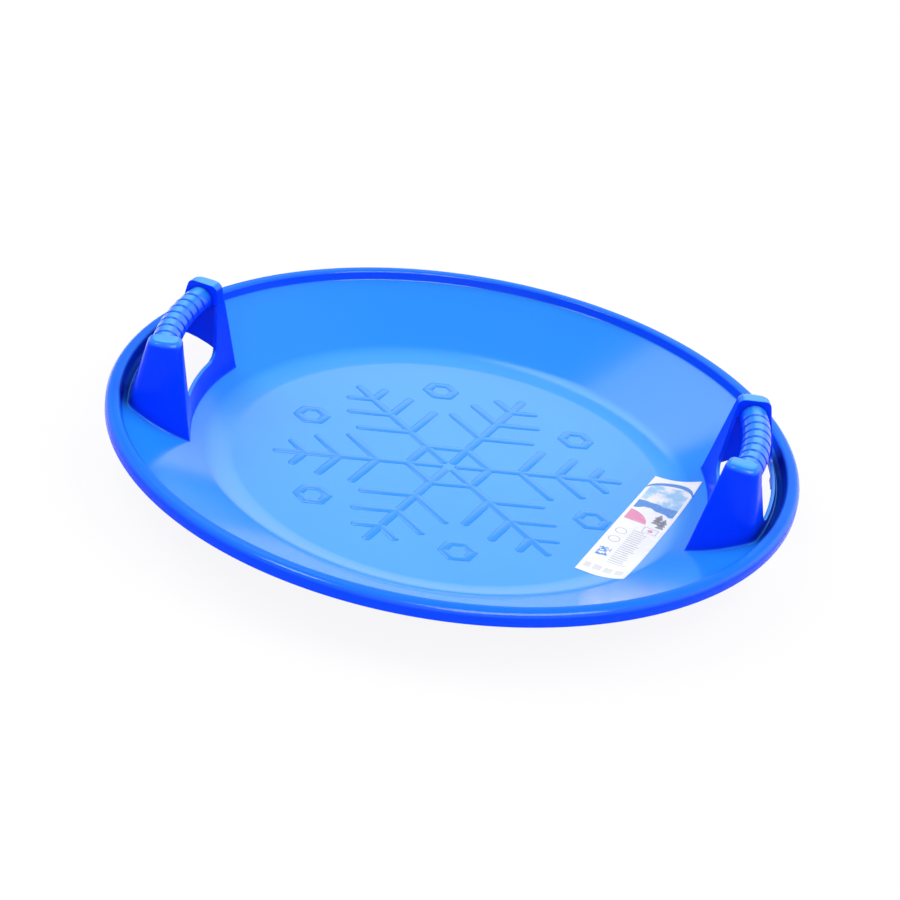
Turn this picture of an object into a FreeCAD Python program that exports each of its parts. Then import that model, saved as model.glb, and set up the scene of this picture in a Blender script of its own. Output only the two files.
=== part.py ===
import FreeCAD, Part
import math
import os

from FreeCAD import Vector

# Saucer sled: a round moulded dish, two clip-in hand-holds and a film label.
# Millimetres, +Z up. The origin is on the ground under the middle of the dish,
# +X runs through the right hand-hold and -Y is the front.

# Dish: flat floor, straight sloping wall and a rolled rim bead open underneath
RIM_DIAMETER = 600.0
RIM_HEIGHT = 50.5
FLOOR_DIAMETER = 404.0
DISH_WALL = 2.5
FLOOR_CURVE = 65.0
BEAD_WIDTH = 12.0
BEAD_STEP = 7.5
BEAD_SKIRT = 11.0
BEAD_ROUND = 5.0

# Hand-hold body: a drafted shell, open from below, concentric with the rim
HANDLE_RISE = 49.0
HANDLE_WALL = 3.2
CHANNEL_WIDTH = 10.3
CROWN_WIDTH = 29.0
CROWN_LENGTH = 141.0
CROWN_ROUND = 5.0
CROWN_CORNER = 8.5
END_SPLAY = 11.0
END_BOW = 40.0
CORNER_FLAT = 1.4
INNER_DRAFT = 8.1
OUTER_DRAFT = 11.6

# Finger window between the two posts
POST_LENGTH = 11.0
WINDOW_DRAFT = 9.7
WINDOW_SPLAY = 12.5
WINDOW_CORNER = 10.0
SILL_HEIGHT = 18.5
LIP_HEIGHT = 5.5

# Ribbed grip: a channel section turned about the dish's axis
GRIP_WIDTH = 26.0
GRIP_INSET = 12.8
GRIP_DROP = 4.5
GRIP_CROWN = 7.0
GRIP_BAND = 6.0
GRIP_WALL = 3.0
GROOVE_COUNT = 7
GROOVE_PITCH = 13.0
GROOVE_WIDTH = 2.6
GROOVE_DEPTH = 1.4

# Fixing of a hand-hold: its wall bears on the dish and hooks pass through an aperture
BEARING_LEDGE = 1.5
SEAT_CLEARANCE = 0.05
HOOK_SIDE_CLEARANCE = 0.3
HOOK_WIDTH = 16.0
HOOK_SPREAD = 70.0
HOOK_REACH = 1.3
HOOK_DEPTH = 2.6
HOOK_CLEARANCE = 0.2

# Label, laid over floor and wall in front of the right hand-hold
LABEL_LENGTH = 188.0
LABEL_WIDTH = 42.5
LABEL_FILM = 0.3
LABEL_CLEARANCE = 0.05
LABEL_TO_FOOT = 3.0
LABEL_FRONT = -34.5
LABEL_TURN = -14.5

# Small rounds are drawn in short flats, true to 0.4 mm
BEND_FLAT_COUNT = 2
EDGE_FLAT_COUNT = 2
GRIP_FLAT_COUNT = 5
CHANNEL_FLAT_COUNT = 3
SOLVE_COUNT = 40

# Values that follow from the sizes above
RIM_RADIUS = RIM_DIAMETER / 2
FLOOR_RADIUS = FLOOR_DIAMETER / 2
BEAD_INNER = RIM_RADIUS - BEAD_WIDTH
WALL_RISE = RIM_HEIGHT - BEAD_STEP - DISH_WALL
WALL_SLOPE = math.atan2(WALL_RISE, BEAD_INNER - FLOOR_RADIUS)
BEND_START = FLOOR_RADIUS - FLOOR_CURVE * math.tan(WALL_SLOPE / 2)
HANDLE_TOP = RIM_HEIGHT + HANDLE_RISE
INNER_LEAN = math.tan(math.radians(INNER_DRAFT))
OUTER_LEAN = math.tan(math.radians(OUTER_DRAFT))
WINDOW_LEAN = math.tan(math.radians(WINDOW_DRAFT))
WINDOW_FLARE = math.tan(math.radians(WINDOW_SPLAY))
CROWN_OUTER = BEAD_INNER - CHANNEL_WIDTH - HANDLE_RISE * OUTER_LEAN
CROWN_INNER = CROWN_OUTER - CROWN_WIDTH
GRIP_RADIUS = CROWN_OUTER - GRIP_INSET
GRIP_TOP = HANDLE_TOP - GRIP_DROP
GRIP_PARTING = GRIP_TOP - GRIP_CROWN
GRIP_BOTTOM = GRIP_PARTING - GRIP_BAND
GRIP_ARC = (GRIP_WIDTH ** 2 / 4 + GRIP_CROWN ** 2) / (2 * GRIP_CROWN)
CROWN_MIDDLE = CROWN_OUTER - CROWN_WIDTH / 2
END_X = math.sqrt(CROWN_MIDDLE ** 2 - CROWN_LENGTH ** 2 / 4) + END_BOW * math.sin(math.radians(END_SPLAY))
END_Y = CROWN_LENGTH / 2 - END_BOW * math.cos(math.radians(END_SPLAY))

ORIGIN = Vector(0, 0, 0)
UP = Vector(0, 0, 1)


def at(radius, height):
    """Point of a profile in the plane through the axis."""
    return Vector(radius, 0, height)


def arc(start, middle, end):
    return Part.Arc(start, middle, end).toShape()


def polygon(points):
    return Part.Face(Part.makePolygon(points + points[:1]))


def flats(centre, radius, first, sweep, count):
    """Points of a round drawn in flats, angles in degrees from +X towards +Z."""
    points = []
    for number in range(count + 1):
        angle = math.radians(first + sweep * number / count)
        points.append(centre + at(radius * math.cos(angle), radius * math.sin(angle)))
    return points


def turned(face, first=90.0, sweep=360.0):
    """Solid of revolution about the dish's axis, from an angle through a sweep."""
    face.rotate(ORIGIN, UP, first)
    return face.revolve(ORIGIN, UP, sweep)


def bowl_curve(lift, reach=RIM_DIAMETER):
    """Inner face of the bowl raised square to itself, from the axis out to a radius."""
    centre = at(BEND_START, DISH_WALL + FLOOR_CURVE)
    bend = flats(centre, FLOOR_CURVE - lift, -90, math.degrees(WALL_SLOPE), BEND_FLAT_COUNT)
    run = reach - bend[-1].x
    end = bend[-1] + at(run, run * math.tan(WALL_SLOPE))
    return [at(0, DISH_WALL + lift)] + bend + [end]


def bowl_height(radius, lift=0.0):
    """Height of the bowl's raised inner face at a radius."""
    points = bowl_curve(lift)
    start, end = next(pair for pair in zip(points, points[1:]) if radius <= pair[1].x)
    return start.z + (end.z - start.z) * (radius - start.x) / (end.x - start.x)


def under_bowl(lift):
    """Everything below the bowl's raised inner face, out past the rim."""
    depth = -RIM_DIAMETER
    return turned(polygon(bowl_curve(lift) + [at(RIM_DIAMETER, depth), at(0, depth)]))


def make_dish_blank():
    under = bowl_curve(-DISH_WALL, BEAD_INNER + DISH_WALL)
    hem = RIM_HEIGHT - BEAD_SKIRT
    round_height = RIM_HEIGHT - BEAD_ROUND
    hollow_top = RIM_HEIGHT - DISH_WALL
    inside = flats(at(BEAD_INNER + BEAD_ROUND, round_height), BEAD_ROUND, 180, -90, EDGE_FLAT_COUNT)
    outside = flats(at(RIM_RADIUS - BEAD_ROUND, round_height), BEAD_ROUND, 90, -90, EDGE_FLAT_COUNT)
    profile = bowl_curve(0, BEAD_INNER) + inside + outside
    profile += [
        at(RIM_RADIUS, hem),
        at(RIM_RADIUS - DISH_WALL, hem),
        at(RIM_RADIUS - DISH_WALL, hollow_top),
        at(BEAD_INNER + DISH_WALL, hollow_top),
    ]
    return turned(polygon(profile + list(reversed(under))))


def drafted_levels(inset, top_round):
    """Heights of a drafted body, foot first, each with how far its faces are drawn in."""
    if not top_round:
        return [(0, inset), (HANDLE_TOP, inset)]
    levels = [(0, inset)]
    for point in flats(at(-top_round, HANDLE_TOP - top_round), top_round, 0, 90, EDGE_FLAT_COUNT):
        levels.append((point.z, inset - point.x))
    return levels


def inner_radius(height, inset=0.0):
    return CROWN_INNER + inset - (HANDLE_TOP - height) * INNER_LEAN


def outer_spread(height, inset=0.0):
    """How far the outer face and the ends stand out from their place at the crown."""
    return (HANDLE_TOP - height) * OUTER_LEAN - inset


def meet(from_axis, from_end):
    """Plan point at a distance from the axis and a distance from the end's centre."""
    centre = Vector(END_X, END_Y, 0)
    reach = centre.Length
    along = (from_axis ** 2 - from_end ** 2 + reach ** 2) / (2 * reach)
    aside = math.sqrt(from_axis ** 2 - along ** 2)
    return (centre * along + Vector(-END_Y, END_X, 0) * aside) / reach


def outline(height, inset):
    """Outer face, round corners and bowed ends at a height, closed towards the axis."""
    spread = outer_spread(height, inset)
    lift = Vector(0, 0, height)
    end_centre = Vector(END_X, END_Y, 0)
    corner_centre = meet(CROWN_OUTER - CROWN_CORNER, END_BOW - CROWN_CORNER)
    outward = Vector(corner_centre).normalize()
    endward = (corner_centre - end_centre).normalize()
    inward = Vector(-1, 0, 0)
    corner = CROWN_CORNER + spread
    bow = END_BOW + spread
    spots = [
        corner_centre + outward * corner,
        corner_centre + (outward + endward).normalize() * corner,
        corner_centre + endward * corner,
        end_centre + (endward + inward).normalize() * bow,
        end_centre + inward * bow,
    ]
    near = [spot + lift for spot in spots]
    far = [Vector(spot.x, -spot.y, height) for spot in spots]
    return Part.Wire([
        arc(far[0], at(CROWN_OUTER + spread, height), near[0]),
        arc(near[0], near[1], near[2]),
        arc(near[2], near[3], near[4]),
        Part.LineSegment(near[4], far[4]).toShape(),
        arc(far[4], far[3], far[2]),
        arc(far[2], far[1], far[0]),
    ])


def drafted_body(inset, top_round=0.0):
    """Solid inside the hand-hold's drafted faces, all drawn in by an even inset."""
    levels = drafted_levels(inset, top_round)
    block = Part.makeLoft([outline(*level) for level in levels], True, True)
    core = [at(inner_radius(*level), level[0]) for level in levels]
    core = [at(0, 0)] + core + [at(0, HANDLE_TOP)]
    return block.cut(turned(polygon(core), -90, 180))


def corner_flat(side):
    """Block beyond the flat that takes the edge off an inner corner."""
    foot = meet(inner_radius(0), END_BOW + outer_spread(0))
    crown = meet(inner_radius(HANDLE_TOP), END_BOW) + Vector(0, 0, HANDLE_TOP)
    endward = (foot - Vector(END_X, END_Y, 0)).normalize()
    outward = (endward - Vector(foot).normalize()).normalize()
    across = UP.cross(outward) * END_BOW
    depth = outward * CORNER_FLAT
    face = polygon([
        foot - across - depth, foot + across - depth, crown + across - depth, crown - across - depth,
    ])
    block = face.extrude(outward * END_BOW)
    return block if side > 0 else block.mirror(ORIGIN, Vector(0, 1, 0))


def window_half(height):
    """Half of the window's length at the middle of the grip."""
    return CROWN_LENGTH / 2 - POST_LENGTH - (HANDLE_TOP - height) * WINDOW_LEAN


def beside_window(side, low, high, near, far):
    """Slab between two offsets from the window's drafted, splayed side."""
    shift = -HANDLE_TOP * WINDOW_FLARE
    points = []
    for height, offset in ((low, near), (low, far), (high, far), (high, near)):
        half = window_half(height) + shift + offset
        points.append(Vector(GRIP_RADIUS - HANDLE_TOP, side * half, height))
    travel = Vector(2 * HANDLE_TOP, -2 * side * shift, 0)
    return polygon(points).extrude(travel)


def window_space(low, high, margin=0.0):
    """Space between the posts over a range of heights, widened by a margin."""
    wide = -RIM_DIAMETER
    right = beside_window(1, low, high, wide, margin)
    return right.common(beside_window(-1, low, high, wide, margin))


def window_cut(bottom, inner_side):
    """Half of the window down to a level, with rounded lower corners."""
    block = window_space(bottom, HANDLE_TOP + HANDLE_RISE)
    corners = [
        edge for edge in block.Edges
        if edge.BoundBox.ZMax < bottom + 0.01 and edge.BoundBox.XLength > HANDLE_TOP
    ]
    block = block.makeFillet(WINDOW_CORNER, corners)
    size = 2 * RIM_DIAMETER
    start = GRIP_RADIUS - size if inner_side else GRIP_RADIUS
    return block.common(Part.makeBox(size, size, size, Vector(start, -size / 2, -size / 2)))


def make_grip():
    """Channel section turned about the dish's axis, with grooves over its crown."""
    half = GRIP_WIDTH / 2
    inner_half = half - GRIP_WALL
    centre = at(GRIP_RADIUS, GRIP_TOP - GRIP_ARC)

    def crown(radius, reach, count=GRIP_FLAT_COUNT):
        spread = math.degrees(math.asin(reach / radius))
        return flats(centre, radius, 90 - spread, 2 * spread, count)

    def spot(offset, height):
        return at(GRIP_RADIUS + offset, height)

    section = [spot(-half, GRIP_BOTTOM), spot(-inner_half, GRIP_BOTTOM)]
    section += reversed(crown(GRIP_ARC - GRIP_WALL, inner_half, CHANNEL_FLAT_COUNT))
    section += [spot(inner_half, GRIP_BOTTOM), spot(half, GRIP_BOTTOM)]
    section += crown(GRIP_ARC, half)
    swing = math.degrees(math.asin(CROWN_LENGTH / 2 / GRIP_RADIUS))
    bar = turned(polygon(section), -swing, 2 * swing)
    bar = bar.common(window_space(GRIP_BOTTOM - HANDLE_WALL, HANDLE_TOP, HANDLE_WALL / 2))

    skin = crown(GRIP_ARC - GROOVE_DEPTH, half - GROOVE_DEPTH, CHANNEL_FLAT_COUNT)
    skin = [spot(half + GROOVE_DEPTH, skin[0].z)] + skin + [spot(-half - GROOVE_DEPTH, skin[-1].z)]
    skin += [spot(-half - GROOVE_DEPTH, HANDLE_TOP), spot(half + GROOVE_DEPTH, HANDLE_TOP)]
    width = math.degrees(GROOVE_WIDTH / GRIP_RADIUS)
    pitch = math.degrees(GROOVE_PITCH / GRIP_RADIUS)
    grooves = []
    for number in range(GROOVE_COUNT):
        middle = (number - (GROOVE_COUNT - 1) / 2) * pitch
        grooves.append(turned(polygon(skin), middle - width / 2, width))
    return bar.cut(grooves)


def edge_of_aperture(inner_side, lift):
    """Radius where the dish's aperture meets the bowl at a depth, closed in on by steps."""
    radius = GRIP_RADIUS
    for _ in range(SOLVE_COUNT):
        height = bowl_height(radius, lift)
        if inner_side:
            radius = inner_radius(height, BEARING_LEDGE)
        else:
            radius = CROWN_OUTER + outer_spread(height, BEARING_LEDGE)
    return radius


def make_hook(inner_side, angle):
    """Snap hook that drops through the aperture and catches under the dish."""
    outward = -1 if inner_side else 1
    throat = edge_of_aperture(inner_side, 0)
    face = throat - outward * HOOK_SIDE_CLEARANCE
    back = throat - outward * (HANDLE_WALL - BEARING_LEDGE)
    tip = edge_of_aperture(inner_side, -DISH_WALL) + outward * HOOK_REACH
    below = -DISH_WALL - HOOK_CLEARANCE
    root = bowl_height(throat, HANDLE_WALL)
    foot = bowl_height(throat, below) - HOOK_DEPTH
    section = polygon([
        at(face, root),
        at(face, bowl_height(face, below)),
        at(tip, bowl_height(tip, below)),
        at(tip, bowl_height(tip, below) - HOOK_REACH / 2),
        at(face, foot),
        at(back, foot),
        at(back, root),
    ])
    sweep = math.degrees(HOOK_WIDTH / throat)
    return turned(section, angle - sweep / 2, sweep)


def make_handle():
    body = drafted_body(0, CROWN_ROUND).cut([corner_flat(1), corner_flat(-1)])
    webs = []
    for side in (-1, 1):
        web = beside_window(side, GRIP_BOTTOM, HANDLE_TOP + HANDLE_RISE, 0, HANDLE_WALL)
        webs.append(web.common(body))
    cavity = drafted_body(HANDLE_WALL)
    ceiling = Part.makeBox(RIM_DIAMETER, RIM_DIAMETER, HANDLE_WALL)
    ceiling.translate(Vector(0, -RIM_RADIUS, HANDLE_TOP - HANDLE_WALL))
    sill = window_cut(bowl_height(edge_of_aperture(True, 0)) + SILL_HEIGHT, True)
    lip = window_cut(bowl_height(edge_of_aperture(False, 0)) + LIP_HEIGHT, False)
    shell = body.cut([cavity.cut(ceiling), sill, lip])
    shell = shell.fuse(webs + [make_grip()])
    shell = shell.cut(under_bowl(SEAT_CLEARANCE))
    hooks = []
    for inner_side in (True, False):
        half_spread = math.degrees(HOOK_SPREAD / 2 / edge_of_aperture(inner_side, 0))
        for angle in (-half_spread, half_spread):
            hooks.append(make_hook(inner_side, angle))
    return shell.fuse(hooks).removeSplitter()


def make_dish():
    aperture = drafted_body(BEARING_LEDGE)
    opposite = aperture.copy()
    opposite.rotate(ORIGIN, UP, 180)
    return make_dish_blank().cut([aperture, opposite])


def make_label():
    """Film that follows the bowl under a straight-sided rectangle."""
    film = under_bowl(LABEL_CLEARANCE + LABEL_FILM).cut(under_bowl(LABEL_CLEARANCE))
    turn = math.radians(LABEL_TURN)
    corner = edge_of_aperture(True, 0) - BEARING_LEDGE - LABEL_TO_FOOT
    half_length = LABEL_LENGTH / 2
    half_width = LABEL_WIDTH / 2
    back_y = LABEL_FRONT + half_length * math.cos(turn) + half_width * math.sin(turn)
    back_x = math.sqrt(corner ** 2 - back_y ** 2)
    centre_x = back_x + half_length * math.sin(turn) - half_width * math.cos(turn)
    sheet = Part.makeBox(LABEL_WIDTH, LABEL_LENGTH, RIM_HEIGHT)
    sheet.translate(Vector(-half_width, -half_length, 0))
    sheet.rotate(ORIGIN, UP, LABEL_TURN)
    sheet.translate(Vector(centre_x, LABEL_FRONT, 0))
    return film.common(sheet)


def main():
    right_handle = make_handle()
    left_handle = right_handle.copy()
    left_handle.rotate(ORIGIN, UP, 180)
    nodes = {
        "dish": make_dish(),
        "right_handle": right_handle,
        "left_handle": left_handle,
        "label": make_label(),
    }
    os.makedirs("parts", exist_ok=True)
    for name, shape in nodes.items():
        solid = shape.Solids[0] if len(shape.Solids) == 1 else shape
        solid.exportStep("parts/" + name + ".step")
        box = solid.BoundBox
        print(
            name, "solids", len(shape.Solids), "valid", shape.isValid(),
            "volume", round(shape.Volume), "from", round(box.ZMin, 2), "to", round(box.ZMax, 2),
        )


main()
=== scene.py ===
import math

import bmesh
import bpy
from mathutils import Matrix, Vector


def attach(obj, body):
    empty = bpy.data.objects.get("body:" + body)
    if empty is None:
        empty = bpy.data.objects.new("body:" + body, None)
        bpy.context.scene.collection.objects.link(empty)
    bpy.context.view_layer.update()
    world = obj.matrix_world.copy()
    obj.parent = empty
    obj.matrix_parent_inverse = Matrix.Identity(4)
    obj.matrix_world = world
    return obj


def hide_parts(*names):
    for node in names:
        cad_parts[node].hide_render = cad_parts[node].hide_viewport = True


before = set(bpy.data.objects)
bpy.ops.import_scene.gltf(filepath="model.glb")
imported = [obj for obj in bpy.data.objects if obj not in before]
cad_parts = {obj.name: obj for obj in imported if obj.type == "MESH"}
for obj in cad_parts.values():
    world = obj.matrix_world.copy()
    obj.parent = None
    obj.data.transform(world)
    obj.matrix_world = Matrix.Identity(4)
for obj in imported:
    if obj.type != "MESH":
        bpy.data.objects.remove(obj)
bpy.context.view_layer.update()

bl_info = {
    "name": "Saucer Sled",
    "version": (1, 0, 0),
    "blender": (4, 5, 0),
    "location": "3D View > Sidebar > Sled",
    "description": "Builds the moulded dish, hand-holds, emblem and label of a saucer sled",
    "category": "Object",
}

BODY = "root"
# Painted shade: the deep blue laid into creases, hollows and the gutter by the hand-holds
PAINTED_CREASE_SHADE = (0.0, 0.009, 0.28)
# Upward part of the normal over which the sides' deep blue, a painted shade, pales into painted light
DISH_BEND = (0.10, 0.90)
HAND_HOLD_BEND = (0.22, 0.85)


def number(name, description, default, **kind):
    return bpy.props.FloatProperty(name=name, description=description, default=default, **kind)


def length(name, description, default):
    return number(name, description, default, unit="LENGTH", precision=5)


def angle(name, description, degrees):
    return number(name, description, math.radians(degrees), subtype="ANGLE")


def colour(name, description, default):
    return bpy.props.FloatVectorProperty(
        name=name, description=description, default=default, subtype="COLOR", size=3, min=0, max=1
    )


def portion(name, description, default):
    return number(name, description, default, subtype="FACTOR", min=0, max=1)


class SledDishSizes(bpy.types.PropertyGroup):
    """Sizes and colours of the dish."""

    rim_radius: length("Rim radius", "Outer radius of the rim bead", 0.300)
    rim_height: length("Rim height", "Top of the rim bead above the ground", 0.0505)
    floor_radius: length("Floor radius", "Radius at which floor and wall would meet", 0.202)
    wall: length("Wall", "Thickness of the moulding", 0.0025)
    floor_curve: length("Floor curve", "Radius of the bend between floor and wall", 0.065)
    bead_width: length("Bead width", "Width of the rim bead", 0.012)
    bead_step: length("Bead step", "Rise of the bead above the wall", 0.0075)
    bead_skirt: length("Bead skirt", "Height of the bead's outer face", 0.0124)
    bead_round: length("Bead round", "Radius of the bead's outer shoulder", 0.0062)
    bead_edge: length("Bead edge", "Radius of the bead's inner upper edge", 0.0022)
    bead_lean: length("Bead lean", "Run of the bead's inner face", 0.0022)
    bead_root: length("Bead root", "Radius where the wall meets the bead", 0.002)
    # The three blues below are one plastic's blue with painted light: paler on faces that look up, deep on
    # upright faces
    upward_colour: colour("Upward colour", "Blue of the faces that look up", (0.066, 0.400, 1.0))
    slope_colour: colour("Slope colour", "Blue of the sloping wall", (0.020, 0.285, 1.0))
    side_colour: colour("Side colour", "Deep blue of the upright faces", (0.002, 0.062, 1.0))
    gloss: portion("Gloss", "Strength of the sheen", 1.0)
    # Reach of the painted crease shade
    painted_shade_reach: length("Crease reach", "Distance at which a near face darkens", 0.04)


class SledHandHoldSizes(bpy.types.PropertyGroup):
    """Sizes and colours of the two hand-holds."""

    rise: length("Rise", "Height of the crown above the rim", 0.049)
    wall: length("Wall", "Thickness of the shell", 0.0032)
    channel: length("Channel", "Gap from the bead at the rim's height", 0.0103)
    crown_width: length("Crown width", "Width of a post's top", 0.0277)
    crown_length: length("Crown length", "Length over both posts at the top", 0.141)
    crown_round: length("Crown round", "Radius of the top edge", 0.005)
    crown_corner: length("Crown corner", "Radius of the outer corners at the top", 0.0085)
    corner_growth: portion("Corner growth", "Part of the draft that widens the outer corners", 0.1)
    inner_corner: length("Inner corner", "Radius of the inner corners at the top", 0.008)
    foot_corner: length("Foot corner", "Radius of the inner corners at the foot", 0.002)
    inner_flare: length("Inner flare", "Reach of the inner foot's fillet", 0.0008)
    outer_flare: length("Outer flare", "Reach of the outer foot's fillet", 0.0024)
    foot_fillet: length("Foot fillet", "Height of the foot's fillet", 0.0026)
    end_splay: angle("End splay", "Turn of the end faces", 11.0)
    end_bow: length("End bow", "Radius of the bowed ends at the top", 0.040)
    inner_draft: angle("Inner draft", "Lean of the inner face", 9.0)
    outer_draft: angle("Outer draft", "Lean of the outer face and the ends", 11.6)
    post_length: length("Post length", "Length of a post at the top", 0.011)
    window_draft: angle("Window draft", "Lean of the window's sides", 9.7)
    window_splay: angle("Window splay", "Turn of the window's sides", 12.5)
    window_corner: length("Window corner", "Radius of the window's lower corners", 0.009)
    sill_height: length("Sill height", "Inner wall under the window", 0.0217)
    lip_height: length("Lip height", "Outer wall under the window", 0.0043)
    edge_round: length("Edge round", "Radius of the small edges", 0.0008)
    grip_width: length("Grip width", "Width of the grip", 0.0246)
    grip_inset: length("Grip inset", "Middle of the grip from the crown's outer edge", 0.0128)
    grip_drop: length("Grip drop", "Top of the grip below the posts", 0.0045)
    grip_crown: length("Grip crown", "Rise of the grip's rounded top", 0.0105)
    grip_band: length("Grip band", "Height of the grip's upright sides", 0.0025)
    grip_wall: length("Grip wall", "Thickness of the grip", 0.003)
    groove_count: bpy.props.IntProperty(name="Grooves", description="Grooves over the grip", default=7)
    groove_pitch: length("Groove pitch", "Distance between grooves", 0.013)
    groove_width: length("Groove width", "Width of a groove", 0.0034)
    groove_depth: length("Groove depth", "Depth of a groove", 0.0016)
    ledge: length("Ledge", "Wall that bears on the dish", 0.0015)
    seat: length("Seat", "Height of the foot over the dish", -0.00015)
    hook_width: length("Hook width", "Width of a snap hook", 0.016)
    hook_spread: length("Hook spread", "Distance between the hooks of one side", 0.070)
    hook_reach: length("Hook reach", "Catch of a hook under the dish", 0.0013)
    hook_depth: length("Hook depth", "Height of a hook below the dish", 0.0026)
    hook_gap: length("Hook gap", "Clearance of a hook from the dish", 0.0003)
    # The three blues below are one plastic's blue with painted light: paler on faces that look up, deep on
    # upright faces
    upward_colour: colour("Upward colour", "Blue of the faces that look up", (0.070, 0.400, 1.0))
    slope_colour: colour("Slope colour", "Blue of the rounded edges", (0.020, 0.230, 1.0))
    side_colour: colour("Side colour", "Deep blue of the upright faces", (0.001, 0.045, 1.0))
    gloss: portion("Gloss", "Strength of the sheen", 0.6)
    # Reach of the painted crease shade
    painted_shade_reach: length("Crease reach", "Distance at which a near face darkens", 0.02)


class SledTrimSizes(bpy.types.PropertyGroup):
    """Sizes and colours of the floor emblem and the label."""

    emblem_radius: length("Emblem radius", "Reach of the emblem's arms", 0.150)
    emblem_width: length("Emblem width", "Width of the emblem's ridges", 0.0082)
    emblem_height: length("Emblem height", "Height of the emblem's ridges", 0.00045)
    emblem_turn: angle("Emblem turn", "Turn of the emblem's first arm", 14.0)
    emblem_colour: colour("Emblem colour", "Blue of the raised emblem", (0.030, 0.325, 1.0))
    label_length: length("Label length", "Long side of the label", 0.188)
    label_width: length("Label width", "Short side of the label", 0.0425)
    label_film: length("Label film", "Thickness of the label", 0.0003)
    label_x: length("Label X", "Middle of the label", 0.17352)
    label_y: length("Label Y", "Middle of the label", -0.0345)
    label_turn: angle("Label turn", "Turn of the label", -14.5)
    paper: colour("Paper", "Ground of the label", (0.97, 0.98, 0.99))
    sky: colour("Sky", "Pale sky of the label's panel", (0.40, 0.68, 0.92))
    hill: colour("Hill", "Blue hills, arch and tile of the label", (0.13, 0.34, 0.76))
    accent: colour("Accent", "Warm bank on the label", (0.86, 0.34, 0.52))
    ink: colour("Ink", "Grey rules and squares", (0.20, 0.22, 0.26))


class SledStageSizes(bpy.types.PropertyGroup):
    """Camera, light and floor."""

    camera_place: bpy.props.FloatVectorProperty(
        name="Camera", description="Place of the camera", default=(0.19725, -1.77024, 1.00869),
        subtype="TRANSLATION", unit="LENGTH",
    )
    focal_length: number("Focal length", "Lens of the camera in millimetres", 93.92)
    floor_colour: colour("Floor colour", "Pale studio floor", (0.95, 0.95, 0.95))


class Signal:
    """A shader socket that Python arithmetic can be done on."""

    def __init__(self, graph, socket):
        self.graph = graph
        self.socket = socket

    def maths(self, operation, *values):
        return self.graph.node("ShaderNodeMath", {"operation": operation}, dict(enumerate(values)))

    def __add__(self, other):
        return self.maths("ADD", self, other)

    __radd__ = __add__

    def __sub__(self, other):
        return self.maths("SUBTRACT", self, other)

    def __rsub__(self, other):
        return self.maths("SUBTRACT", other, self)

    def __mul__(self, other):
        return self.maths("MULTIPLY", self, other)

    __rmul__ = __mul__

    def __pow__(self, other):
        return self.maths("POWER", self, other)

    def __abs__(self):
        return self.maths("ABSOLUTE", self)

    def above(self, limit):
        return self.maths("GREATER_THAN", self, limit)

    def below(self, limit):
        return self.maths("LESS_THAN", self, limit)

    def larger(self, other):
        return self.maths("MAXIMUM", self, other)

    def modulo(self, step):
        return self.maths("FLOORED_MODULO", self, step)

    def ease(self, low, high):
        """Smooth step from 0 at one value to 1 at another."""
        values = {"Value": self, "From Min": low, "From Max": high}
        return self.graph.node("ShaderNodeMapRange", {"interpolation_type": "SMOOTHSTEP"}, values)


class Graph:
    """A node tree that signals are worked out in."""

    def __init__(self, tree):
        self.tree = tree

    def node(self, kind, settings, values, output=0):
        made = self.tree.nodes.new(kind)
        for key, setting in settings.items():
            setattr(made, key, setting)
        for key, value in values.items():
            self.feed(made.inputs[key], value)
        return Signal(self, made.outputs[output])

    def feed(self, socket, value):
        if isinstance(value, Signal):
            self.tree.links.new(value.socket, socket)
        elif socket.type == "RGBA" and len(value) == 3:
            socket.default_value = (*value, 1.0)
        else:
            socket.default_value = value

    def end(self, output, shader):
        self.feed(self.tree.nodes[output].inputs[0], shader)

    def ray(self, kind):
        return self.node("ShaderNodeLightPath", {}, {}, f"Is {kind} Ray")

    def axes(self, vector):
        """The three parts of a vector."""
        return [self.node("ShaderNodeSeparateXYZ", {}, {0: vector}, part) for part in "XYZ"]

    def mix(self, factor, first, second):
        return self.node("ShaderNodeMix", {"data_type": "RGBA"}, {0: factor, 6: first, 7: second}, 2)

    def blend(self, factor, first, second):
        """One shader into another."""
        return self.node("ShaderNodeMixShader", {}, {0: factor, 1: first, 2: second})


class Finish(Graph):
    """A material built from nodes, with one shader at its end."""

    def __init__(self, name):
        self.material = bpy.data.materials.new(name)
        self.material.use_nodes = True
        super().__init__(self.material.node_tree)
        self.shader = self.tree.nodes["Principled BSDF"]
        self.coords = self.node("ShaderNodeTexCoord", {}, {}, "Object")

    def set(self, **values):
        for key, value in values.items():
            self.feed(self.shader.inputs[key.replace("_", " ")], value)

    def noise(self, scale, detail=2.0):
        values = {"Vector": self.coords, "Scale": scale, "Detail": detail}
        return self.node("ShaderNodeTexNoise", {}, values, "Fac")

    def bump(self, height, strength, distance):
        values = {"Height": height, "Strength": strength, "Distance": distance}
        self.set(Normal=self.node("ShaderNodeBump", {}, values))


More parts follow.
